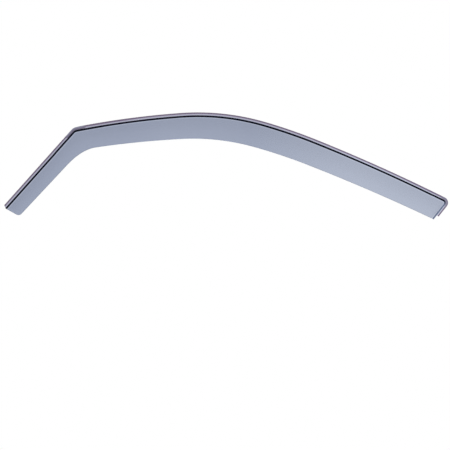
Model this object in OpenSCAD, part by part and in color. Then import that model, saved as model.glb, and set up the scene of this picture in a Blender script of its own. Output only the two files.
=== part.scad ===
// Window rain deflector for a front side door.
// One sheet of tinted acrylic, heated and pressed over a former, then trimmed and its edges polished.
// A narrow flange goes up into the window channel. A step stands the panel off the door frame,
// and the panel leans outward over the gap of an open window.
// X runs from the front tip to the rear, Z is up and Y points in toward the glass.
// The origin is on the inner face of the flange, at the middle of its height, at the crown.

/* [Sheet] */
// Thickness of the acrylic sheet
sheet = 3; // [2:0.5:4]
// How far the step stands the panel off the flange
step_out = 6; // [5:0.5:10]
// Inner radius of the two bends that make the step
bend_in = 1; // [0.5:0.25:1.5]
// Outer radius of the two bends that make the step
bend_out = 2; // [1:0.25:2]
// Radius rubbed along the panel's free edge
lip_r = 1.2; // [0.4:0.2:1.4]

/* [Flange] */
// Height of the channel flange above the middle of the step, along the front leg
leg_flange_h = 7.4; // [6:0.2:10]
// Height of the flange where the roof run begins
flange_h = 8; // [7:0.2:12]
// Height of the flange at the rear corner
rear_flange_h = 6.8; // [5:0.2:10]
// Height of the flange where it wraps round the rear end
end_flange_h = 6.2; // [4:0.2:9]
// Length of the bevel on the flange's outer top edge
bevel = 1.4; // [0.6:0.2:2]
// How far the flange's front end is cut back at its top edge, in degrees
flange_end_cut = 24; // [0:2:40]
// Bare length of step between the flange's rear end and the panel's corner
notch_len = 11; // [5:0.5:16]

/* [Front leg] */
// Length of the step along the front leg
leg_len = 205; // [150:1:260]
// Slope of the front leg above level
leg_slope = 48.2; // [40:0.1:55]
// Radius of the step at the bend between the leg and the roof run
front_bend_r = 10; // [8:1:30]

/* [Roof run] */
// Slope of the step where the roof run begins
roof_slope = 11.1; // [8:0.1:15]
// Length of the front stretch, up to the crown
front_len = 210; // [150:1:240]
// Radius of the front stretch
front_r = 1740; // [1200:20:4000]
// Radius of the crown
crown_r = 474; // [380:2:620]
// Angle that the crown turns through
crown_turn = 20.2; // [16:0.2:24]
// Length of the stretch behind the crown
behind_len = 110; // [60:2:160]
// Radius of the stretch behind the crown
behind_r = 1080; // [800:20:3000]
// Length of the rear stretch
rear_len = 281; // [200:1:340]
// Radius of the rear stretch
rear_r = 3600; // [2500:100:9000]

/* [Rear end] */
// Radius of the step at the rear corner
corner_r = 5; // [4:0.5:8]
// Slope of the rear end below level, pointing back and down
end_slope = 128.5; // [124:0.5:134]

/* [Panel depth] */
// Depth of the panel below the step at the front tip
tip_depth = 30; // [24:0.2:36]
// Depth of the panel at the top of the leg's straight lower edge
leg_depth = 33.6; // [28:0.2:38]
// Depth of the panel where the roof run's lower edge begins
front_depth = 40; // [34:0.2:44]
// Depth of the panel at its deepest
deep_depth = 47; // [44:0.5:56]
// Depth of the panel at the rear corner
rear_depth = 42.6; // [36:0.2:46]
// Length of leg beside the rounded inner elbow
elbow_leg = 58; // [44:1:80]
// Length of roof run above the rounded inner elbow
elbow_roof = 32; // [24:1:50]
// Radius of the front tip's lower corner
tip_r = 8.5; // [3:0.5:11]
// How far the tip's end edge is cut back toward its lower corner, in degrees
tip_cut = 13.5; // [6:0.5:20]

/* [Form] */
// Outward lean of the panel, in degrees
lean = 8; // [4:0.5:12]
// How far the panel bulges outward halfway down its depth
panel_bow = 1; // [0.2:0.1:2]
// Radius of the door's side seen from above
plan_r = 8000; // [5000:500:20000]
// Radius of the door's side seen from the end
side_r = 1500; // [1000:100:4000]

/* [Mesh] */
// Longest step between sections along the straight and gently curved runs
station_gap = 13; // [10:1:20]
// Number of flats across the panel's depth
flats = 6; // [4:1:10]

/* [Hidden] */

smoke = [0.60, 0.64, 0.73, 0.85];
half = sheet / 2;
// Where the straight part of the panel starts, below the middle of the step
outer_start = bend_out - half;
inner_start = half + bend_in;
front_turn = front_len * 180 / (PI * front_r);
behind_turn = behind_len * 180 / (PI * behind_r);
rear_turn = rear_len * 180 / (PI * rear_r);
rear_slope = roof_slope - front_turn - crown_turn - behind_turn - rear_turn;
corner_turn = rear_slope + end_slope;
elbow_turn = leg_slope - roof_slope;
function arc_len(r, turn) = r * turn * PI / 180;

// The runs of the step line, each a length and the angle that it turns down through
runs = [
    [leg_len, 0],
    [arc_len(front_bend_r, elbow_turn), elbow_turn],
    [front_len, front_turn],
    [arc_len(crown_r, crown_turn), crown_turn],
    [behind_len, behind_turn],
    [rear_len, rear_turn],
    [arc_len(corner_r, corner_turn), corner_turn]
];

function dir(a) = [cos(a), sin(a)];
// Left of the way along the line, which is the flange's side
function left(a) = [-sin(a), cos(a)];
function mix(a, b, t) = a + (b - a) * t;

// A place is [x, z, heading], and step_along moves it along part of a run
function step_along(p, run, s) =
    let (a = p[2], b = a - run[1] * s / run[0])
    run[1] == 0
        ? [p[0] + s * cos(a), p[1] + s * sin(a), a]
        : let (r = run[0] * 180 / (PI * run[1]))
            [p[0] + r * (sin(a) - sin(b)), p[1] + r * (cos(b) - cos(a)), b];

function starts(i = 0, p = [0, 0, leg_slope]) =
    i == len(runs) ? [p] : concat([p], starts(i + 1, step_along(p, runs[i], runs[i][0])));
run_starts = starts();
run_ends = [for (i = 0, s = runs[0][0]; i < len(runs); i = i + 1, s = s + (i < len(runs) ? runs[i][0] : 0)) s];

// The place on the step line at a length s from the front tip. Past the rear corner the line is straight.
function place(s, i = 0) =
    i == len(runs) ? step_along(run_starts[i], [1, 0], s - run_ends[i - 1])
    : s <= run_ends[i] ? step_along(run_starts[i], runs[i], s - run_ends[i] + runs[i][0])
    : place(s, i + 1);

// Marks along the step line
elbow_start = leg_len - elbow_leg;
elbow_end = run_ends[1] + elbow_roof;
deepest = run_ends[3];
corner_start = run_ends[5];
corner_end = run_ends[6];
crown_mark = run_ends[2] + arc_len(crown_r, roof_slope - front_turn);

// The sharp lower rear corner, where the rear end meets the lower edge
rear_reach = 30;
rear_mark = corner_start - rear_reach;

// Point where a line from p along u meets a line from q along v
function meet(p, u, q, v) =
    let (d = q - p, c = u[0] * v[1] - u[1] * v[0])
    p + u * (d[0] * v[1] - d[1] * v[0]) / c;
function xz(p) = [p[0], p[1]];
function unit(v) = v / norm(v);

// Depth of the panel below the roof run
depth_power = 1.5;
function depth(s) =
    s < deepest
        ? deep_depth - (deep_depth - front_depth) * pow((deepest - s) / (deepest - elbow_end), depth_power)
        : deep_depth - (deep_depth - rear_depth) * pow((s - deepest) / (corner_start - deepest), depth_power);
// Foot of a square-on column of the given depth
function foot(s, d) = let (p = place(s)) xz(p) - left(p[2]) * d;

// Lower edge of the leg, and the front tip's end edge
leg_foot_low = foot(0, tip_depth);
leg_foot_high = foot(elbow_start, leg_depth);
leg_edge_dir = unit(leg_foot_high - leg_foot_low);
leg_edge_slope = atan2(leg_edge_dir[1], leg_edge_dir[0]);
tip_edge_slope = leg_slope - 90 + tip_cut;
tip_corner = meet([0, 0], dir(tip_edge_slope), leg_foot_low, leg_edge_dir);
tip_turn = leg_edge_slope - tip_edge_slope;
tip_tangent = tip_r * tan(tip_turn / 2);
tip_arc = [arc_len(tip_r, tip_turn), -tip_turn];
tip_edge_len = norm(tip_corner) - tip_tangent;
tip_arc_start = concat(dir(tip_edge_slope) * tip_edge_len, [tip_edge_slope]);
tip_arc_end = tip_corner + leg_edge_dir * tip_tangent;

// Rounded inner elbow under the front bend
elbow_from = leg_foot_high;
elbow_to = foot(elbow_end, depth(elbow_end));
elbow_to_dir = unit(foot(elbow_end + 1, depth(elbow_end + 1)) - elbow_to);
elbow_corner = meet(elbow_from, leg_edge_dir, elbow_to, elbow_to_dir);
function elbow_point(t) = mix(mix(elbow_from, elbow_corner, t), mix(elbow_corner, elbow_to, t), t);

// Rear end
rear_foot = foot(rear_mark, depth(rear_mark));
rear_edge_dir = unit(foot(rear_mark + 1, depth(rear_mark + 1)) - rear_foot);
end_line = place(corner_end);
panel_corner = meet(xz(end_line), dir(-end_slope), rear_foot, rear_edge_dir);
end_mark = corner_end + norm(panel_corner - xz(end_line));
rear_edge_len = norm(panel_corner - rear_foot);
end_skew = tan(end_slope - 90 + atan2(rear_edge_dir[1], rear_edge_dir[0]));

// The step line and the lower edge are met by one list of sections, from the tip to the panel's corner
tip_edge_reach = 12;
tip_arc_reach = 18;
notch_mark = end_mark - notch_len;
notch_width = 0.6;
// Length of lower or end edge at which a section's foot first leaves the step line's own width
corner_stub = inner_start + 1.5;
function spread(a, b, count) = [for (k = [1:count]) mix(a, b, k / count)];
function gaps(a, b) = ceil((b - a) / station_gap);
marks = concat(
    [0],
    spread(0, tip_edge_reach, 4),
    spread(tip_edge_reach, tip_arc_reach, 5),
    spread(tip_arc_reach, elbow_start, gaps(tip_arc_reach, elbow_start)),
    spread(elbow_start, leg_len, 5),
    spread(leg_len, run_ends[1], 5),
    spread(run_ends[1], elbow_end, 3),
    spread(elbow_end, rear_mark, gaps(elbow_end, rear_mark)),
    spread(rear_mark, corner_start, 3),
    spread(corner_start, corner_end, 8),
    spread(corner_end, notch_mark, 4),
    [notch_mark + notch_width],
    spread(notch_mark + notch_width, end_mark, 2)
);

// Length of lower edge left between a rear section's foot and the panel's corner
function rear_left(s) = lookup(s, [
    [rear_mark, rear_edge_len],
    [corner_start, rear_edge_len * 0.72],
    [corner_end, rear_edge_len * 0.62],
    [end_mark, corner_stub]
]);

// Foot of each section on the lower edge, as [x, z, heading of the edge]
function lower(s) =
    s <= tip_edge_reach ? concat(
        dir(tip_edge_slope) * mix(corner_stub, tip_edge_len, s / tip_edge_reach), [tip_edge_slope])
    : s <= tip_arc_reach ? step_along(
        tip_arc_start, tip_arc, tip_arc[0] * (s - tip_edge_reach) / (tip_arc_reach - tip_edge_reach))
    : s <= elbow_start ? concat(
        mix(tip_arc_end, leg_foot_high, (s - tip_arc_reach) / (elbow_start - tip_arc_reach)),
        [leg_edge_slope])
    : s < elbow_end ? let (
        t = (s - elbow_start) / (elbow_end - elbow_start),
        d = mix(elbow_corner - elbow_from, elbow_to - elbow_corner, t))
        concat(elbow_point(t), [atan2(d[1], d[0])])
    : s < rear_mark ? let (f = foot(s, depth(s)), d = foot(s + 1, depth(s + 1)) - f)
        concat(f, [atan2(d[1], d[0])])
    : concat(panel_corner - rear_edge_dir * rear_left(s), [atan2(rear_edge_dir[1], rear_edge_dir[0])]);

// How far the cut ends slant along the step line, for each millimetre above it and below it
cut_fade = 14;
function fade(s) = max(0, 1 - s / cut_fade);
function slant_above(s) = tan(flange_end_cut) * fade(s) - end_skew * fade(end_mark - s);
function slant_below(s) = tan(tip_cut) * fade(s) + end_skew * fade(end_mark - s);

// The flange is tallest at the front of the roof run and is trimmed lower toward the rear end
function flange_top(s) =
    s > notch_mark + notch_width / 2 ? half + 0.6
    : lookup(s, [
        [leg_len, leg_flange_h],
        [run_ends[1] + flange_h, flange_h],
        [corner_start, rear_flange_h],
        [corner_end, end_flange_h]
    ]);

// Depth of a point below the roof run or the leg. Behind the rear corner the roof run is taken as going on.
function below(q, s) = let (p = place(min(s, corner_start))) -(q - xz(p)) * left(p[2]);
function rise(q, s, foot_depth) =
    let (d = below(q, s) - inner_start, t = min(1, d / (foot_depth - inner_start)))
    d <= 0 ? 0 : d * tan(lean) + 4 * panel_bow * t * (1 - t);

quarter = [0, 30, 60, 90];
face = sheet + step_out;

// One section as [x, z, distance out from the flange's inner face], out along the front and back behind
function section(s) =
    let (
        p = place(s),
        u = dir(p[2]),
        n = left(p[2]),
        low = lower(s),
        inward = left(low[2]),
        foot_depth = below(xz(low), s),
        at = function (h) xz(p) + n * h + u * (h > 0 ? h * slant_above(s) : -h * slant_below(s)),
        on_flange = function (h, w) concat(at(h), [w]),
        on_panel = function (q, w) concat(q, [w + rise(q, s, foot_depth)]),
        top = flange_top(s),
        tight = min(bend_in, (top - half) / 2),
        cut = min(bevel, sheet * 0.6, (top - half - tight) / 2),
        front_start = at(-outer_start),
        back_start = at(-inner_start),
        lip = min(lip_r, sheet * 0.45, 0.3 * norm(xz(low) - back_start)),
        lip_start = xz(low) + inward * lip
    )
    concat(
        [on_flange(top, sheet - cut), on_flange(top - cut, sheet)],
        [for (a = quarter) on_flange(half + tight * (1 - sin(a)), sheet + tight * (1 - cos(a)))],
        [for (a = quarter) on_panel(at(half - bend_out * (1 - cos(a))), face - bend_out * (1 - sin(a)))],
        [for (q = spread(0, 1, flats)) on_panel(mix(front_start, lip_start, q), face)],
        [for (a = [30, 60, 90]) on_panel(xz(low) + inward * lip * (1 - sin(a)), face - lip * (1 - cos(a)))],
        [for (a = [90, 60, 30])
            on_panel(xz(low) + inward * lip * (1 - sin(a)), step_out + lip * (1 - cos(a)))],
        [for (q = spread(1, 0, flats)) on_panel(mix(back_start, lip_start, q + 1 / flats), step_out)],
        [for (a = [90, 60, 30, 0])
            on_panel(at(-half - bend_in * (1 - cos(a))), step_out - bend_in * (1 - sin(a)))],
        [for (a = [90, 60, 30, 0])
            on_flange(-half + bend_out * (1 - sin(a)), bend_out * (1 - cos(a)))],
        [on_flange(top - cut, 0), on_flange(top, 0)]
    );

// The part's own frame, with the door's gentle curves laid over it
crown = xz(place(crown_mark)) + [0, flange_top(crown_mark) / 2];
middle_x = panel_corner[0] / 2 - crown[0];
middle_z = -crown[1] / 2;
function arch(v, middle, r) = (pow(v - middle, 2) - pow(middle, 2)) / (2 * r);
function in_frame(q) =
    let (x = q[0] - crown[0], z = q[1] - crown[1])
    [x, arch(x, middle_x, plan_r) + arch(z, middle_z, side_r) - q[2], z];

module deflector() {
    rings = [for (s = marks) [for (q = section(s)) in_frame(q)]];
    size = len(rings[0]);
    last = len(rings) - 1;
    points = [for (ring = rings) each ring];
    skin = [for (k = [0:last - 1], i = [0:size - 1]) let (
            a = k * size + i,
            b = k * size + (i + 1) % size)
        each [[a, a + size, b], [b, a + size, b + size]]];
    caps = [for (i = [0:size / 2 - 2]) let (j = size - 1 - i, top = last * size) each [
        [i, i + 1, j],
        [j, i + 1, j - 1],
        [top + i, top + j, top + i + 1],
        [top + j, top + j - 1, top + i + 1]
    ]];
    color(smoke)
        polyhedron(points, concat(skin, caps), convexity = 6);
}

deflector();
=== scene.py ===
import bpy
from itertools import accumulate
from math import atan2, ceil, cos, degrees, radians, sin, tan
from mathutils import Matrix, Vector


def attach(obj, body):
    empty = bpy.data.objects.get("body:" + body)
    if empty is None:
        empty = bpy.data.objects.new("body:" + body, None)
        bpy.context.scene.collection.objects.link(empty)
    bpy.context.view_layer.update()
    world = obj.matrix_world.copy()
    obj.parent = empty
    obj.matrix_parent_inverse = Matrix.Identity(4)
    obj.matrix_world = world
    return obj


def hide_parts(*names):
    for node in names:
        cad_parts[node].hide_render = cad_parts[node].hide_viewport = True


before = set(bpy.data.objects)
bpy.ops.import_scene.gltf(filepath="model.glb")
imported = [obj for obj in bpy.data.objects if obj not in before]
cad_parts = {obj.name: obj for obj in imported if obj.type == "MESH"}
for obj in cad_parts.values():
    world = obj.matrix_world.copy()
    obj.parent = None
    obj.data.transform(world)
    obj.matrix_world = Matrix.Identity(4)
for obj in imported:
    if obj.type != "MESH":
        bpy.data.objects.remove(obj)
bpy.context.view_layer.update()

# Step line
# The line where the pressed sheet steps out from its channel flange, laid out as a chain of tangent runs from
# the front tip up the leg, round the front bend, over the roof and down the rear end. Lengths are in
# millimetres up to the loft, and angles in degrees.
LEG_LEN = 205
LEG_SLOPE = 48.2
FRONT_BEND_R = 10
ROOF_SLOPE = 11.1
FRONT_LEN, FRONT_R = 210, 1740
CROWN_R, CROWN_TURN = 474, 20.2
BEHIND_LEN, BEHIND_R = 110, 1080
REAR_LEN, REAR_R = 281, 3600
CORNER_R = 5
END_SLOPE, END_REACH = 128.5, 100


def arc_len(radius, turn):
    return radius * radians(turn)


front_turn = degrees(FRONT_LEN / FRONT_R)
behind_turn = degrees(BEHIND_LEN / BEHIND_R)
rear_turn = degrees(REAR_LEN / REAR_R)
elbow_turn = LEG_SLOPE - ROOF_SLOPE
rear_slope = ROOF_SLOPE - front_turn - CROWN_TURN - behind_turn - rear_turn
corner_turn = rear_slope + END_SLOPE
# Length and turn of each run
runs = [
    (LEG_LEN, 0),
    (arc_len(FRONT_BEND_R, elbow_turn), elbow_turn),
    (FRONT_LEN, front_turn),
    (arc_len(CROWN_R, CROWN_TURN), CROWN_TURN),
    (BEHIND_LEN, behind_turn),
    (REAR_LEN, rear_turn),
    (arc_len(CORNER_R, corner_turn), corner_turn),
    (END_REACH, 0),
]


def heading(angle):
    return Vector((cos(radians(angle)), sin(radians(angle))))


def left_of(angle):
    return Vector((-sin(radians(angle)), cos(radians(angle))))


def step_along(point, angle, run, s):
    """Point and heading after a length s of a run that starts at a point with a heading."""
    length, turn = run
    if turn == 0:
        return point + heading(angle) * s, angle
    radius = length / radians(turn)
    end = angle - turn * s / length
    return point + (left_of(end) - left_of(angle)) * radius, end


# How far along the step line each run ends, and the point and heading that it starts from
run_ends = list(accumulate(length for length, turn in runs))
run_starts = [(Vector((0, 0)), LEG_SLOPE)]
for run in runs:
    run_starts.append(step_along(*run_starts[-1], run, run[0]))


def place(s):
    """Point on the step line and its heading, at a length s from the front tip."""
    i = next(k for k, end in enumerate(run_ends) if s <= end or k == len(runs) - 1)
    return step_along(*run_starts[i], runs[i], s - run_ends[i] + runs[i][0])


# Lower edge
# The panel's free edge, routed to its depth below the step line and rubbed round by hand. It has a round
# corner at the front tip, a wide elbow under the front bend and a sharp corner at the rear.
SHEET = 3
BEND_IN = 1
TIP_DEPTH, LEG_DEPTH = 30, 33.6
FRONT_DEPTH, DEEP_DEPTH, REAR_DEPTH = 40, 47, 42.6
DEPTH_POWER = 1.5
ELBOW_LEG, ELBOW_ROOF = 58, 32
TIP_R = 8.5
TIP_CUT = 13.5
TIP_EDGE_REACH, TIP_ARC_REACH = 12, 18
REAR_REACH = 30
STUB_LEN = 1.5
CORNER_START_SHARE, CORNER_END_SHARE = 0.72, 0.62
PACE = 1
half = SHEET / 2
inner_start = half + BEND_IN
corner_stub = inner_start + STUB_LEN
elbow_start = LEG_LEN - ELBOW_LEG
elbow_end = run_ends[1] + ELBOW_ROOF
deepest = run_ends[3]
corner_start = run_ends[5]
corner_end = run_ends[6]
rear_mark = corner_start - REAR_REACH


def meet(p, u, q, v):
    """Where a line through p along u meets a line through q along v."""
    d = q - p
    return p + u * ((d.x * v.y - d.y * v.x) / (u.x * v.y - u.y * v.x))


def slope_of(v):
    return degrees(atan2(v.y, v.x))


def depth(s):
    """How far the lower edge lies below the step line along the roof."""
    if s < deepest:
        share = (deepest - s) / (deepest - elbow_end)
        return DEEP_DEPTH - (DEEP_DEPTH - FRONT_DEPTH) * share ** DEPTH_POWER
    share = (s - deepest) / (corner_start - deepest)
    return DEEP_DEPTH - (DEEP_DEPTH - REAR_DEPTH) * share ** DEPTH_POWER


def foot(s, deep):
    """The point square below the step line at s, at a depth."""
    point, angle = place(s)
    return point - left_of(angle) * deep


def edge_way(s):
    """Which way the lower edge runs at s, over one pace along the step line."""
    return foot(s + PACE, depth(s + PACE)) - foot(s, depth(s))


leg_foot_low = foot(0, TIP_DEPTH)
leg_foot_high = foot(elbow_start, LEG_DEPTH)
leg_edge = (leg_foot_high - leg_foot_low).normalized()
leg_edge_slope = slope_of(leg_edge)
tip_edge_slope = LEG_SLOPE - 90 + TIP_CUT
tip_edge = heading(tip_edge_slope)
tip_corner = meet(Vector((0, 0)), tip_edge, leg_foot_low, leg_edge)
tip_turn = leg_edge_slope - tip_edge_slope
tip_tangent = TIP_R * tan(radians(tip_turn / 2))
tip_edge_len = tip_corner.length - tip_tangent
tip_arc = (arc_len(TIP_R, tip_turn), -tip_turn)
tip_arc_end = tip_corner + leg_edge * tip_tangent
elbow_to = foot(elbow_end, depth(elbow_end))
elbow_corner = meet(leg_foot_high, leg_edge, elbow_to, edge_way(elbow_end).normalized())
rear_foot = foot(rear_mark, depth(rear_mark))
rear_edge = edge_way(rear_mark).normalized()
end_point = place(corner_end)[0]
panel_corner = meet(end_point, heading(-END_SLOPE), rear_foot, rear_edge)
end_mark = corner_end + (panel_corner - end_point).length
rear_edge_len = (panel_corner - rear_foot).length
end_skew = tan(radians(END_SLOPE - 90 + slope_of(rear_edge)))
# How far short of the panel's rear corner the foot of a section stands, at each mark
rear_stops = [
    (rear_mark, rear_edge_len),
    (corner_start, rear_edge_len * CORNER_START_SHARE),
    (corner_end, rear_edge_len * CORNER_END_SHARE),
    (end_mark, corner_stub),
]


def mix(a, b, t):
    return a + (b - a) * t


def between(stops, s):
    """The value at s on a chain of (mark, value) stops, level before the first one and after the last."""
    for (a, va), (b, vb) in zip(stops, stops[1:]):
        if s <= b:
            return mix(va, vb, max(0, s - a) / (b - a))
    return stops[-1][1]


def lower(s):
    """Foot of a section on the lower edge, and the edge's heading there."""
    if s <= TIP_EDGE_REACH:
        return tip_edge * mix(corner_stub, tip_edge_len, s / TIP_EDGE_REACH), tip_edge_slope
    if s <= TIP_ARC_REACH:
        share = (s - TIP_EDGE_REACH) / (TIP_ARC_REACH - TIP_EDGE_REACH)
        return step_along(tip_edge * tip_edge_len, tip_edge_slope, tip_arc, tip_arc[0] * share)
    if s <= elbow_start:
        share = (s - TIP_ARC_REACH) / (elbow_start - TIP_ARC_REACH)
        return mix(tip_arc_end, leg_foot_high, share), leg_edge_slope
    if s < elbow_end:
        t = (s - elbow_start) / (elbow_end - elbow_start)
        a = mix(leg_foot_high, elbow_corner, t)
        b = mix(elbow_corner, elbow_to, t)
        return mix(a, b, t), slope_of(b - a)
    if s < rear_mark:
        return foot(s, depth(s)), slope_of(edge_way(s))
    return panel_corner - rear_edge * between(rear_stops, s), slope_of(rear_edge)


# Stations
# The flange is trimmed to its height in the channel, bevelled along its top and cut down to a low lip at the
# rear end, and both ends of the sheet are cut on a slant. Stations along the step line, closer at the bends,
# carry the section's sizes there, and the loft runs through all of them.
MM = 0.001
LEG_FLANGE_H, FLANGE_H = 7.4, 8
REAR_FLANGE_H, END_FLANGE_H = 6.8, 6.2
FLANGE_END_CUT = 24
BEVEL = 1.4
NOTCH_LEN, NOTCH_WIDTH = 11, 0.6
NOTCH_LIP = 0.6
LIP_R, LIP_LIMIT = 1.2, 0.3
CUT_FADE = 14
TRIM = 0.05
TIP_GAP, TIP_ARC_GAP = 1.0, 0.5
STATION_GAP, ELBOW_GAP, BEND_GAP = 3, 2, 0.4
REAR_GAP, END_GAP, NOTCH_GAP, LOW_LIP_GAP = 1.5, 1.2, 0.2, 0.8
BEND_MARGIN = 3
notch_mark = end_mark - NOTCH_LEN
crown_mark = run_ends[2] + arc_len(CROWN_R, ROOF_SLOPE - front_turn)
flange_stops = [
    (LEG_LEN, LEG_FLANGE_H),
    (run_ends[1] + FLANGE_H, FLANGE_H),
    (corner_start, REAR_FLANGE_H),
    (corner_end, END_FLANGE_H),
]


def spread(a, b, gap):
    """Marks after a and up to b, evenly spaced and at most a gap apart."""
    count = ceil((b - a) / gap)
    return [mix(a, b, (k + 1) / count) for k in range(count)]


marks = [0]
for end, gap in [
    (TIP_EDGE_REACH, TIP_GAP),
    (TIP_ARC_REACH, TIP_ARC_GAP),
    (elbow_start, STATION_GAP),
    (LEG_LEN - BEND_MARGIN, ELBOW_GAP),
    (run_ends[1] + BEND_MARGIN, BEND_GAP),
    (elbow_end, ELBOW_GAP),
    (rear_mark, STATION_GAP),
    (corner_start, REAR_GAP),
    (corner_end, BEND_GAP),
    (notch_mark, END_GAP),
    (notch_mark + NOTCH_WIDTH, NOTCH_GAP),
    (end_mark, LOW_LIP_GAP),
]:
    marks += spread(marks[-1], end, gap)


def fade(s):
    """1 at an end of the sheet, down to 0 where the slant of its cut has died out."""
    return max(0, 1 - s / CUT_FADE)


def flange_top(s):
    if s > notch_mark + NOTCH_WIDTH / 2:
        return half + NOTCH_LIP
    return between(flange_stops, s) - TRIM


# The part's origin, at half the flange's height at the crown
crown = place(crown_mark)[0] + Vector((0, (flange_top(crown_mark) + TRIM) / 2))


def flat(v):
    """A point or direction of the flat drawing, stood upright in the part's frame."""
    return (v.x, 0, v.y)


rows = []
for s in marks:
    point, angle = place(s)
    datum, datum_angle = place(min(s, corner_start))
    low, low_angle = lower(s)
    top = flange_top(s)
    tight = min(BEND_IN, (top - half) / 2)
    back_start = point - left_of(angle) * inner_start
    slant_above = tan(radians(FLANGE_END_CUT)) * fade(s) - end_skew * fade(end_mark - s)
    slant_below = tan(radians(TIP_CUT)) * fade(s) + end_skew * fade(end_mark - s)
    rows.append({
        "along": s * MM,
        "step_point": flat((point - crown) * MM),
        "up": flat(left_of(angle)),
        "slant_above": flat(heading(angle) * slant_above),
        "slant_below": flat(heading(angle) * slant_below),
        "foot_point": flat((low - crown) * MM),
        "inward": flat(left_of(low_angle)),
        "datum": flat((datum - crown) * MM),
        "datum_up": flat(left_of(datum_angle)),
        "foot_depth": (datum - low).dot(left_of(datum_angle)) * MM,
        "top": top,
        "tight": tight,
        "cut": min(BEVEL, (top - half - tight) / 2),
        "lip": min(LIP_R, LIP_LIMIT * (low - back_start).length),
    })

# Section of the sheet
# Seen end on, the 3 mm acrylic is a bevelled flange, two tight bends, the wall between them and the panel
# down to its rubbed edge. Each point is a height above the step's middle and a distance out from the inner
# face of the flange.
STEP_OUT = 6
BEND_OUT = 2
NIB = 0.25
FLATS = 14
BEND_FLATS, LIP_FLATS = 6, 6
outer_start = BEND_OUT - half
face = SHEET + STEP_OUT
bend_angles = [radians(90 / BEND_FLATS * k) for k in range(BEND_FLATS + 1)]
SQUARE = bend_angles[-1]
lip_angles = [radians(90 / LIP_FLATS * (k + 1)) for k in range(LIP_FLATS)]
across = [(k + 1) / FLATS for k in range(FLATS)]
# Height and out are in millimetres. What stands after them names a size of the station, a share of which is
# added. The rest says how far across the panel a point lies, whether it leans, what finish it has, and where
# the rounded edges take a painted dark edge line.
front = (
    [{"height_top": 1, "out": SHEET, "out_cut": -1, "rubbed": 1},
     {"height_top": 1, "height_cut": -1, "out": SHEET}]
    + [{"height": half, "height_tight": 1 - sin(a), "out": SHEET, "out_tight": 1 - cos(a),
        "walled": a == SQUARE} for a in bend_angles]
    + [{"height": half - BEND_OUT * (1 - cos(a)), "out": face - BEND_OUT * (1 - sin(a)), "leans": 1,
        "walled": a == 0} for a in bend_angles]
    + [{"height": -outer_start, "out": face, "across": q, "lip_share": 1, "leans": 1} for q in across]
    + [{"out": face, "across": 1, "lip_share": 1 - sin(a), "out_lip": cos(a) - 1, "leans": 1,
        "rubbed": sin(a)} for a in lip_angles]
)
back = (
    [{"height_top": 1, "out": NIB, "rubbed": 1},
     {"height_top": 1, "height": -NIB},
     {"height_top": 1, "height_cut": -1}]
    + [{"height": BEND_OUT * (1 - sin(a)) - half, "out": BEND_OUT * (1 - cos(a)),
        "walled": a == SQUARE} for a in bend_angles]
    + [{"height": -half - BEND_IN * (1 - cos(a)), "out": STEP_OUT - BEND_IN * (1 - sin(a)), "leans": 1,
        "walled": a == 0} for a in bend_angles]
    + [{"height": -inner_start, "out": STEP_OUT, "across": q, "lip_share": 1, "leans": 1} for q in across]
    + [{"out": STEP_OUT, "across": 1, "lip_share": 1 - sin(a), "out_lip": 1 - cos(a), "leans": 1,
        "rubbed": sin(a)} for a in lip_angles]
)
profile = front + back[::-1]
# These are in millimetres and are stored in metres
LENGTHS = ("top", "tight", "cut", "lip", "height", "out")
scene = bpy.context.scene


def kind_of(table, key):
    """The kind of attribute that a column of a table goes into."""
    return "FLOAT_VECTOR" if isinstance(table[0].get(key), tuple) else "FLOAT"


def points_with(name, table, keys):
    """A bare row of points that carries one number or direction of the table in each named attribute."""
    mesh = bpy.data.meshes.new(name)
    mesh.from_pydata([(0, 0, 0)] * len(table), [], [])
    for key in keys:
        kind = kind_of(table, key)
        layer = mesh.attributes.new(key, kind, "POINT")
        scale = MM if key in LENGTHS else 1
        for item, line in zip(layer.data, table):
            if kind == "FLOAT":
                item.value = line.get(key, 0) * scale
            else:
                item.vector = line[key]
    holder = bpy.data.objects.new(name, mesh)
    scene.collection.objects.link(holder)
    return holder


row_keys = list(rows[0])
profile_keys = [
    "height", "height_top", "height_cut", "height_tight",
    "out", "out_cut", "out_tight", "out_lip",
    "across", "lip_share", "leans", "rubbed", "walled",
]
sheet = points_with("deflector_sheet", rows, row_keys)
section = points_with("sheet_section", profile, profile_keys)

# Loft
# The warm sheet takes the former's shape: the section is carried along the step line, its panel leans out and
# bulges a little, and the whole follows the curve of a door's side in plan and from the end.
LEAN = 8
PANEL_BOW = 1
PLAN_R, SIDE_R = 8000, 1500
middle_x = (panel_corner / 2 - crown).x
middle_z = -crown.y / 2

press = bpy.data.node_groups.new("Pressed sheet", "GeometryNodeTree")
press.interface.new_socket("Sections", in_out="INPUT", socket_type="NodeSocketGeometry")
sizes = {
    "Profile": ("NodeSocketObject", section),
    "Lean": ("NodeSocketFloat", tan(radians(LEAN))),
    "Bulge": ("NodeSocketFloat", PANEL_BOW * MM),
    "Panel start": ("NodeSocketFloat", inner_start * MM),
    "Middle along": ("NodeSocketFloat", middle_x * MM),
    "Middle up": ("NodeSocketFloat", middle_z * MM),
    "Plan radius": ("NodeSocketFloat", PLAN_R * MM),
    "Side radius": ("NodeSocketFloat", SIDE_R * MM),
    "Acrylic": ("NodeSocketMaterial", None),
}
socket_ids = {
    name: press.interface.new_socket(name, in_out="INPUT", socket_type=kind).identifier
    for name, (kind, value) in sizes.items()
}
press.interface.new_socket("Sheet", in_out="OUTPUT", socket_type="NodeSocketGeometry")
tree = press
given = tree.nodes.new("NodeGroupInput").outputs
result = tree.nodes.new("NodeGroupOutput").inputs[0]


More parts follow.
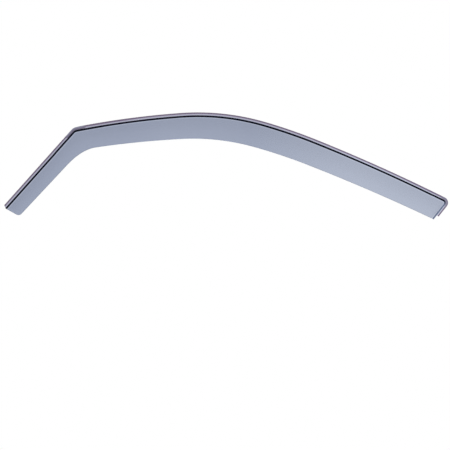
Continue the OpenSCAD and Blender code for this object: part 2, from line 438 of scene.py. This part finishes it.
def add(kind, links=(), **settings):
    """A node in the present tree, with its settings and with values or outputs put into named sockets."""
    new = tree.nodes.new(kind)
    for key, value in settings.items():
        setattr(new, key, value)
    for socket, source in dict(links).items():
        if isinstance(source, bpy.types.NodeSocket):
            tree.links.new(source, new.inputs[socket])
        else:
            new.inputs[socket].default_value = source
    return new


def maths(operation, *values, clamp=False):
    return add("ShaderNodeMath", enumerate(values), operation=operation, use_clamp=clamp).outputs[0]


def chain(operation, values):
    value = values[0]
    for other in values[1:]:
        value = maths(operation, value, other)
    return value


def total(*values):
    return chain("ADD", values)


def times(*values):
    return chain("MULTIPLY", values)


def minus(value, other):
    return maths("SUBTRACT", value, other)


def vectors(operation, *values):
    out = "Value" if operation == "DOT_PRODUCT" else "Vector"
    return add("ShaderNodeVectorMath", enumerate(values), operation=operation).outputs[out]


def length_of(vector):
    return add("ShaderNodeVectorMath", {0: vector}, operation="LENGTH").outputs["Value"]


def scaled(vector, amount):
    return add("ShaderNodeVectorMath", {0: vector, "Scale": amount}, operation="SCALE").outputs["Vector"]


section_points = add("GeometryNodeObjectInfo", {"Object": given["Profile"]}).outputs["Geometry"]
# The tube has a ring for each station, with a point for each point of the section
tube = add("GeometryNodeMeshCylinder", {
    "Vertices": len(profile),
    "Side Segments": len(rows) - 1,
    "Fill Segments": 1,
}, fill_type="NGON").outputs["Mesh"]
index = add("GeometryNodeInputIndex").outputs[0]
# The half keeps rounding from putting a point on the ring before its own
row_number = maths("FLOOR", maths("DIVIDE", total(index, 0.5), len(profile)))
profile_number = minus(index, times(row_number, len(profile)))


def read(key, table, geometry, number):
    """A column of a table, read off its row of points for each point of the tube."""
    kind = kind_of(table, key)
    value = add("GeometryNodeInputNamedAttribute", {"Name": key}, data_type=kind).outputs["Attribute"]
    return add("GeometryNodeSampleIndex", {"Geometry": geometry, "Value": value, "Index": number},
               data_type=kind).outputs[0]


row = {key: read(key, rows, given["Sections"], row_number) for key in row_keys}
spot = {key: read(key, profile, section_points, profile_number) for key in profile_keys}

height = total(
    spot["height"],
    times(spot["height_top"], row["top"]),
    times(spot["height_cut"], row["cut"]),
    times(spot["height_tight"], row["tight"]),
)
out = total(
    spot["out"],
    times(spot["out_cut"], row["cut"]),
    times(spot["out_tight"], row["tight"]),
    times(spot["out_lip"], row["lip"]),
)
# On the flat drawing a point stands at its height on the step, or part of the way from there to the edge
on_rim = vectors("ADD", row["step_point"], scaled(row["up"], height))
on_rim = vectors("ADD", on_rim, scaled(row["slant_above"], maths("MAXIMUM", height, 0)))
on_rim = vectors("ADD", on_rim, scaled(row["slant_below"], maths("MAXIMUM", times(height, -1), 0)))
above_foot = times(spot["lip_share"], row["lip"])
on_lip = vectors("ADD", row["foot_point"], scaled(row["inward"], above_foot))
drop = vectors("SUBTRACT", on_lip, on_rim)
way_down = scaled(drop, spot["across"])
on_sheet = vectors("ADD", on_rim, way_down)
# The panel leans out further the further down it a point lies
below = vectors("DOT_PRODUCT", vectors("SUBTRACT", row["datum"], on_sheet), row["datum_up"])
fall = maths("MAXIMUM", minus(below, given["Panel start"]), 0)
share = maths("DIVIDE", fall, minus(row["foot_depth"], given["Panel start"]), clamp=True)
# A shallow arch over the panel's depth, 1 at its middle
arched = times(4, share, minus(1, share))
rise = times(spot["leans"], total(times(fall, given["Lean"]), times(arched, given["Bulge"])))
flat_place = add("ShaderNodeSeparateXYZ", {0: on_sheet}).outputs


def arch(value, centre, radius):
    """How far a wide curve with its middle at a centre has bowed off since it passed the origin."""
    beyond = minus(value, centre)
    return maths("DIVIDE", minus(times(beyond, beyond), times(centre, centre)), times(radius, 2))


door_curve = total(arch(flat_place["X"], given["Middle along"], given["Plan radius"]),
                   arch(flat_place["Z"], given["Middle up"], given["Side radius"]))
inward_y = minus(door_curve, total(out, rise))
position = add("ShaderNodeCombineXYZ", {"X": flat_place["X"], "Y": inward_y, "Z": flat_place["Z"]}).outputs[0]
pressed = add("GeometryNodeSetPosition", {"Geometry": tube, "Position": position}).outputs[0]
kept = {
    "above_step": minus(height, length_of(way_down)),
    "below_top": minus(row["top"], height),
    "to_edge": total(above_foot, length_of(vectors("SUBTRACT", drop, way_down))),
    "along": row["along"],
    "rubbed": spot["rubbed"],
    "walled": spot["walled"],
}
for name, value in kept.items():
    pressed = add("GeometryNodeStoreNamedAttribute", {"Geometry": pressed, "Name": name, "Value": value},
                  data_type="FLOAT", domain="POINT").outputs[0]
pressed = add("GeometryNodeFlipFaces", {"Mesh": pressed}).outputs[0]
pressed = add("GeometryNodeRealizeInstances", {"Geometry": pressed}).outputs[0]
pressed = add("GeometryNodeSetMaterial", {"Geometry": pressed, "Material": given["Acrylic"]}).outputs[0]
tree.links.new(pressed, result)

# Smoke acrylic
# Light blue-grey acrylic, dyed through, with painted light over its colour. It is painted a shade darker
# toward the front and lighter toward the rear, and in painted shade next to the step. The step is a dark line
# of painted shade between two painted highlights, and is kept from mirroring the white studio. Its line rides
# up before the two tight bends, where painted shade darkens the flange and the mauve bevel dives down. The
# rounded edges carry a painted dark edge line. Lengths are in millimetres.
DYE = (0.0, 0.104, 0.37)
DYE_DENSITY = 120
# Painted light: the sheet and its lilac flange are painted shaded toward the front and lit toward the rear,
# and the crown a little lighter than the roof before it
SHADED_FRONT_TINT, LIT_REAR_TINT = (0.431, 0.471, 0.566), (0.608, 0.648, 0.728)
# Painted shade on the panel just under the step
UNDER_STEP_SHADE = (0.87, 0.87, 0.88)
SHADE_ENDS = (35, 360)
CROWN_SHADE_ENDS, CROWN_SHADE = (-160, -50), 0.12
SHADED_FLANGE_TINT, LIT_FLANGE_TINT = (0.525, 0.485, 0.57), (0.64, 0.60, 0.70)
FLANGE_FROM = (1, 3)
BEVEL_TINT, TIGHT_BEND_BEVEL_TINT = (0.39, 0.30, 0.40), (0.60, 0.61, 0.68)
BEVEL_REACH, BEVEL_SINK = (2.2, 3.6), 3.6
BEVEL_WIDENS = 0.7
WIDE_PAST_BEND, WIDE_BEND_REACH = 62, (25, 70)
WIDE_BEFORE_CORNER, WIDE_CORNER_REACH = 25, (30, 70)
# Painted shade on the flange just above the step at the two tight bends
BEND_SHADE_TINT = (0.54, 0.47, 0.51)
BEND_SHADE_HEIGHT, BEND_SHADE_HEIGHT_REACH = 2.7, (1.2, 3.2)
TIGHT_FRONT_REACH = (16, 24)
TIGHT_CORNER_PAST, TIGHT_CORNER_REACH, TIGHT_CORNER_SHARE = 2, (4, 12), 0.85
# The dark line along the step is painted shade
STEP_SHADE_TINT = (0.001, 0.003, 0.014)
LINE_REACH = (1.65, 2.25)
LINE_DROP, DROP_ENDS = (0.1, 0.25), (-140, 160)
LINE_NARROWS, NARROWS_ENDS = 0.12, (250, 340)
# Where along the step line, how far to each side it is full and gone, and how much
LINE_LIFTS = [
    (run_ends[0] - 27, (22, 33), 0.5),
    (run_ends[3] + 15, (40, 70), -0.1),
    (corner_start - 10, (10, 20), 0.4),
]
LINE_SWELLS = [
    (run_ends[1] + 22, (20, 50), 0.15),
    (run_ends[0] - 10, (8, 16), -0.2),
]
LINE_END_EARLY, LINE_END_LATE = 1, 3
WALL_FADE = (0.8, 1)
# Painted highlights on the bands either side of the step line
HIGHLIGHT_TINT = (0.88, 0.92, 1.0)
PALE_DISTANCE, PALE_DROP, PALE_REACH = 2.6, 0.1, (0.6, 1.4)
PALE_BELOW, PALE_ABOVE = (0.38, 0.52), (0.26, 0.60)
PALE_ENDS, PALE_SIDES = (200, 340), (-1, 1)
# Painted highlight on the step round the rear end
REAR_STEP_HIGHLIGHT_TINT = (0.92, 0.93, 0.90)
REAR_HIGHLIGHT_REACH, REAR_HIGHLIGHT_DROP, REAR_HIGHLIGHT_SHARE = (2.2, 3.2), 0.2, 0.85
# Painted shade: a dark edge line on the rounded edges, which are rubbed to a satin finish
EDGE_SHADE_TINT = (0.45, 0.46, 0.50)
POLISH, POLISH_GRAIN = (0.03, 0.08), (0.35, 0.75)
POLISH_SCALE, POLISH_DETAIL, POLISH_STRETCH = 60, 4, (1, 1, 3)
SATIN = 0.4
RIPPLE, RIPPLE_DEPTH = 0.2, 0.4
RIPPLE_SCALE, RIPPLE_DETAIL = 14, 2
ACRYLIC_IOR, ACRYLIC_SPECULAR = 1.49, 0.5
CALM_IOR, CALM_REACH, CALM_RUBBED = 1.1, (2.7, 3.3), 0.9
acrylic = bpy.data.materials.new("smoke_acrylic")
acrylic.use_nodes = True
tree = acrylic.node_tree
shader = tree.nodes["Principled BSDF"]
own_place = add("ShaderNodeTexCoord").outputs["Object"]


def kept_value(name):
    """A value that the loft left on the mesh."""
    return add("ShaderNodeAttribute", attribute_name=name).outputs["Fac"]


def in_mm(value):
    return maths("DIVIDE", value, MM)


def ramp(value, ends, low=0, high=1):
    """A smooth change from the low value to the high one, between two ends."""
    return add("ShaderNodeMapRange", {
        "Value": value,
        "From Min": ends[0],
        "From Max": ends[1],
        "To Min": low,
        "To Max": high,
    }, interpolation_type="SMOOTHSTEP").outputs[0]


def band(value, middle, reach):
    """A soft stripe, 1 within the first distance from its middle and 0 beyond the second."""
    return ramp(maths("ABSOLUTE", minus(value, middle)), reach, 1, 0)


# The colours of a mix node go by number, because its other kinds of values share their names
MIX_A, MIX_B, MIX_RESULT = 6, 7, 2


def blend(amount, colour_a, colour_b, kind="MIX"):
    """Two colours mixed or multiplied, each given as a socket or as a red, green and blue triple."""
    colours = {MIX_A: colour_a, MIX_B: colour_b}
    sockets = {k: c if isinstance(c, bpy.types.NodeSocket) else (*c, 1) for k, c in colours.items()}
    return add("ShaderNodeMix", {0: amount, **sockets}, data_type="RGBA", blend_type=kind).outputs[MIX_RESULT]


def grain(scale, detail, stretch=(1, 1, 1)):
    """Soft noise on the part's own coordinates."""
    moved = add("ShaderNodeMapping", {"Vector": own_place, "Scale": stretch}).outputs[0]
    return add("ShaderNodeTexNoise", {"Vector": moved, "Scale": scale, "Detail": detail}).outputs["Fac"]


above_step = in_mm(kept_value("above_step"))
under_top = in_mm(kept_value("below_top"))
to_edge = in_mm(kept_value("to_edge"))
length_on = in_mm(kept_value("along"))
rubbed = kept_value("rubbed")
off_wall = ramp(kept_value("walled"), WALL_FADE, 1, 0)
across_x = in_mm(add("ShaderNodeSeparateXYZ", {0: own_place}).outputs["X"])
# Painted light: how far the colour has gone from the shaded front to the lit rear
lit_toward_rear = maths("MAXIMUM", ramp(across_x, SHADE_ENDS), ramp(across_x, CROWN_SHADE_ENDS, 0, CROWN_SHADE))
# Painted shade on the panel, darkest next to the step and gone at the lower edge
under_step = maths("MAXIMUM", times(above_step, -1), 0)
shade_near_step = ramp(maths("DIVIDE", under_step, total(under_step, to_edge)), (0, 1), 1, 0)

# At the two tight bends, where painted shade darkens the flange just above the step and the bevel dives down
at_rear_corner = band(length_on, corner_start + TIGHT_CORNER_PAST, TIGHT_CORNER_REACH)
at_tight_bends = maths("MAXIMUM", band(length_on, (run_ends[0] + run_ends[1]) / 2, TIGHT_FRONT_REACH),
                 times(at_rear_corner, TIGHT_CORNER_SHARE))
bend_shade = times(at_tight_bends, band(above_step, BEND_SHADE_HEIGHT, BEND_SHADE_HEIGHT_REACH))

# The flange and its bevel, which is wider past the front bend and before the rear corner
on_flange = ramp(above_step, FLANGE_FROM)
wide = maths("MAXIMUM", band(length_on, run_ends[1] + WIDE_PAST_BEND, WIDE_BEND_REACH),
             band(length_on, corner_start - WIDE_BEFORE_CORNER, WIDE_CORNER_REACH))
from_bevel = maths("ABSOLUTE", minus(under_top, times(at_tight_bends, BEVEL_SINK)))
from_bevel = minus(from_bevel, times(wide, BEVEL_WIDENS))
on_bevel = times(ramp(from_bevel, BEVEL_REACH, 1, 0), on_flange)

# The dark line of painted shade along the step, which sags, lifts, narrows and swells a little on its way
line_drop = ramp(across_x, DROP_ENDS, *LINE_DROP)
for mark, reach, amount in LINE_LIFTS:
    line_drop = minus(line_drop, times(band(length_on, mark, reach), amount))
from_line = maths("ABSOLUTE", total(above_step, line_drop))
from_line = total(from_line, ramp(across_x, NARROWS_ENDS, 0, LINE_NARROWS))
for mark, reach, amount in LINE_SWELLS:
    from_line = minus(from_line, times(band(length_on, mark, reach), amount))
line_goes = ramp(length_on, (corner_start - LINE_END_EARLY, corner_end + LINE_END_LATE), 1, 0)
on_shade_line = times(ramp(from_line, LINE_REACH, 1, 0), off_wall, line_goes)

# Painted highlights: the pale bands beside the line, where the bends catch the light, and the step round the
# rear end, painted pale
highlight_below = ramp(across_x, PALE_ENDS, *PALE_BELOW)
highlight_above = ramp(across_x, PALE_ENDS, *PALE_ABOVE)
from_step = maths("ABSOLUTE", total(above_step, PALE_DROP))
bend_highlights = times(band(from_step, PALE_DISTANCE, PALE_REACH), ramp(above_step, PALE_SIDES, highlight_below, highlight_above))
rear_step_highlight = times(band(above_step, -REAR_HIGHLIGHT_DROP, REAR_HIGHLIGHT_REACH),
             ramp(length_on, (corner_end + LINE_END_EARLY, end_mark), 0, REAR_HIGHLIGHT_SHARE))

# The tints are laid over one another, the dark line of painted shade last
# Painted light: the sheet's colour, shaded at the front and lit at the rear
tint = blend(lit_toward_rear, SHADED_FRONT_TINT, LIT_REAR_TINT)
# Painted shade under the step
tint = blend(shade_near_step, tint, UNDER_STEP_SHADE, "MULTIPLY")
tint = blend(on_flange, tint, blend(lit_toward_rear, SHADED_FLANGE_TINT, LIT_FLANGE_TINT))
tint = blend(on_bevel, tint, blend(at_tight_bends, BEVEL_TINT, TIGHT_BEND_BEVEL_TINT), "MULTIPLY")
# Painted highlights beside the step line
tint = blend(bend_highlights, tint, HIGHLIGHT_TINT)
# Painted shade in the two tight bends
tint = blend(bend_shade, tint, BEND_SHADE_TINT, "MULTIPLY")
# Painted highlight on the step round the rear end
tint = blend(rear_step_highlight, tint, REAR_STEP_HIGHLIGHT_TINT)
# Painted shade: the dark line along the rounded edges
tint = blend(rubbed, tint, EDGE_SHADE_TINT, "MULTIPLY")
# Painted shade: the dark line along the step
tint = blend(on_shade_line, tint, STEP_SHADE_TINT)
tree.links.new(tint, shader.inputs["Base Color"])

# The face is polished, and mirrors less next to the step and on the rubbed edges
polish = ramp(grain(POLISH_SCALE, POLISH_DETAIL, POLISH_STRETCH), POLISH_GRAIN, *POLISH)
tree.links.new(total(polish, times(rubbed, SATIN)), shader.inputs["Roughness"])
calm = maths("MAXIMUM", times(band(above_step, 0, CALM_REACH), off_wall), times(rubbed, CALM_RUBBED))
shader.inputs["Specular IOR Level"].default_value = ACRYLIC_SPECULAR
shader.inputs["IOR"].default_value = ACRYLIC_IOR
tree.links.new(ramp(calm, (0, 1), ACRYLIC_SPECULAR, 0), shader.inputs["Specular IOR Level"])
tree.links.new(ramp(calm, (0, 1), ACRYLIC_IOR, CALM_IOR), shader.inputs["IOR"])
shader.inputs["Transmission Weight"].default_value = 1
ripple = add("ShaderNodeBump", {
    "Strength": RIPPLE,
    "Distance": RIPPLE_DEPTH * MM,
    "Height": grain(RIPPLE_SCALE, RIPPLE_DETAIL),
}).outputs[0]
tree.links.new(ripple, shader.inputs["Normal"])
dye = add("ShaderNodeVolumeAbsorption", {"Color": (*DYE, 1), "Density": DYE_DENSITY}).outputs[0]
tree.links.new(dye, tree.nodes["Material Output"].inputs["Volume"])

# Deflector
# The finished part, taken from the loft as one closed shell of acrylic. It has no fixings: its flange is
# pushed up into the window channel of the door, and the spring of the sheet holds it there.
SHARP = 40
loft = sheet.modifiers.new("Pressed sheet", "NODES")
loft.node_group = press
for name, (kind, value) in sizes.items():
    loft[socket_ids[name]] = acrylic if name == "Acrylic" else value
depsgraph = bpy.context.evaluated_depsgraph_get()
sheet_mesh = bpy.data.meshes.new_from_object(sheet.evaluated_get(depsgraph), depsgraph=depsgraph)
sheet.modifiers.remove(loft)
bpy.data.objects.remove(section)
sheet.data = sheet_mesh
sheet_mesh.name = "deflector_sheet"
sheet_mesh.shade_smooth()
sheet_mesh.set_sharp_from_angle(angle=radians(SHARP))
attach(sheet, "root")
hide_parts("deflector")

# Studio
# A plain pale floor well under the part, which fades out into the white all round it, and three soft lamps.
# From here on, lengths are in metres and lamp powers in watts.
FLOOR_SIZE, FLOOR_FADE = 3.0, 0.7
FLOOR_PLACE = (0.05, 0, -0.8)
FLOOR_COLOUR, FLOOR_ROUGHNESS = (0.86, 0.86, 0.87), 0.6
LAMP_TARGET = (0.05, 0, -0.1)
LAMPS = {
    "key": ((-0.5, -1.0, 1.8), (1.4, 1.0), 24),
    "fill": ((1.3, -0.7, 1.4), (1.0, 1.0), 10),
    "back": ((0.2, 1.3, 1.2), (1.4, 0.8), 12),
}
WHITE, DIM, DIM_STRENGTH = (1, 1, 1), (0.8, 0.82, 0.85), 0.6
bpy.ops.mesh.primitive_plane_add(size=FLOOR_SIZE, location=FLOOR_PLACE)
floor = bpy.context.object
floor.name = "floor"
floor_paint = bpy.data.materials.new("pale_floor")
floor_paint.use_nodes = True
tree = floor_paint.node_tree
board = tree.nodes["Principled BSDF"]
board.inputs["Base Color"].default_value = (*FLOOR_COLOUR, 1)
board.inputs["Roughness"].default_value = FLOOR_ROUGHNESS
off_centre = length_of(add("ShaderNodeTexCoord").outputs["Object"])
tree.links.new(ramp(off_centre, (FLOOR_FADE, FLOOR_SIZE / 2), 1, 0), board.inputs["Alpha"])
floor.data.materials.append(floor_paint)

for name, (stand, size, watts) in LAMPS.items():
    light = bpy.data.lights.new(name, "AREA")
    light.shape = "RECTANGLE"
    light.size, light.size_y = size
    light.energy = watts
    lamp = bpy.data.objects.new(name, light)
    lamp.location = stand
    lamp.rotation_euler = (Vector(LAMP_TARGET) - Vector(stand)).to_track_quat("-Z", "Y").to_euler()
    scene.collection.objects.link(lamp)

world = scene.world or bpy.data.worlds.new("studio")
scene.world = world
world.use_nodes = True
tree = world.node_tree
tree.nodes.clear()
rays = add("ShaderNodeLightPath").outputs
seen = maths("MAXIMUM", rays["Is Camera Ray"], rays["Is Glossy Ray"])
seen = maths("MAXIMUM", seen, rays["Is Transmission Ray"])
dim = add("ShaderNodeBackground", {"Color": (*DIM, 1), "Strength": DIM_STRENGTH}).outputs[0]
white = add("ShaderNodeBackground", {"Color": (*WHITE, 1)}).outputs[0]
sky = add("ShaderNodeMixShader", {0: seen, 1: dim, 2: white}).outputs[0]
add("ShaderNodeOutputWorld", {"Surface": sky})

# Camera
# Square on to the outer face, from far off, with the part in the upper half of a frame 900 mm wide. The
# sensor's width is in millimetres.
FRAME_WIDTH = 0.9
FRAME_MIDDLE = (0.0538, -0.2214)
FAR, CLIP_END = 12.0, 50
SENSOR = 36
camera_data = bpy.data.cameras.new("camera")
camera_data.sensor_width = SENSOR
camera_data.lens = SENSOR * FAR / FRAME_WIDTH
camera_data.clip_end = CLIP_END
camera = bpy.data.objects.new("camera", camera_data)
camera.location = (FRAME_MIDDLE[0], -FAR, FRAME_MIDDLE[1])
camera.rotation_euler = (radians(90), 0, 0)
scene.collection.objects.link(camera)
scene.camera = camera
scene.view_settings.view_transform = "Standard"
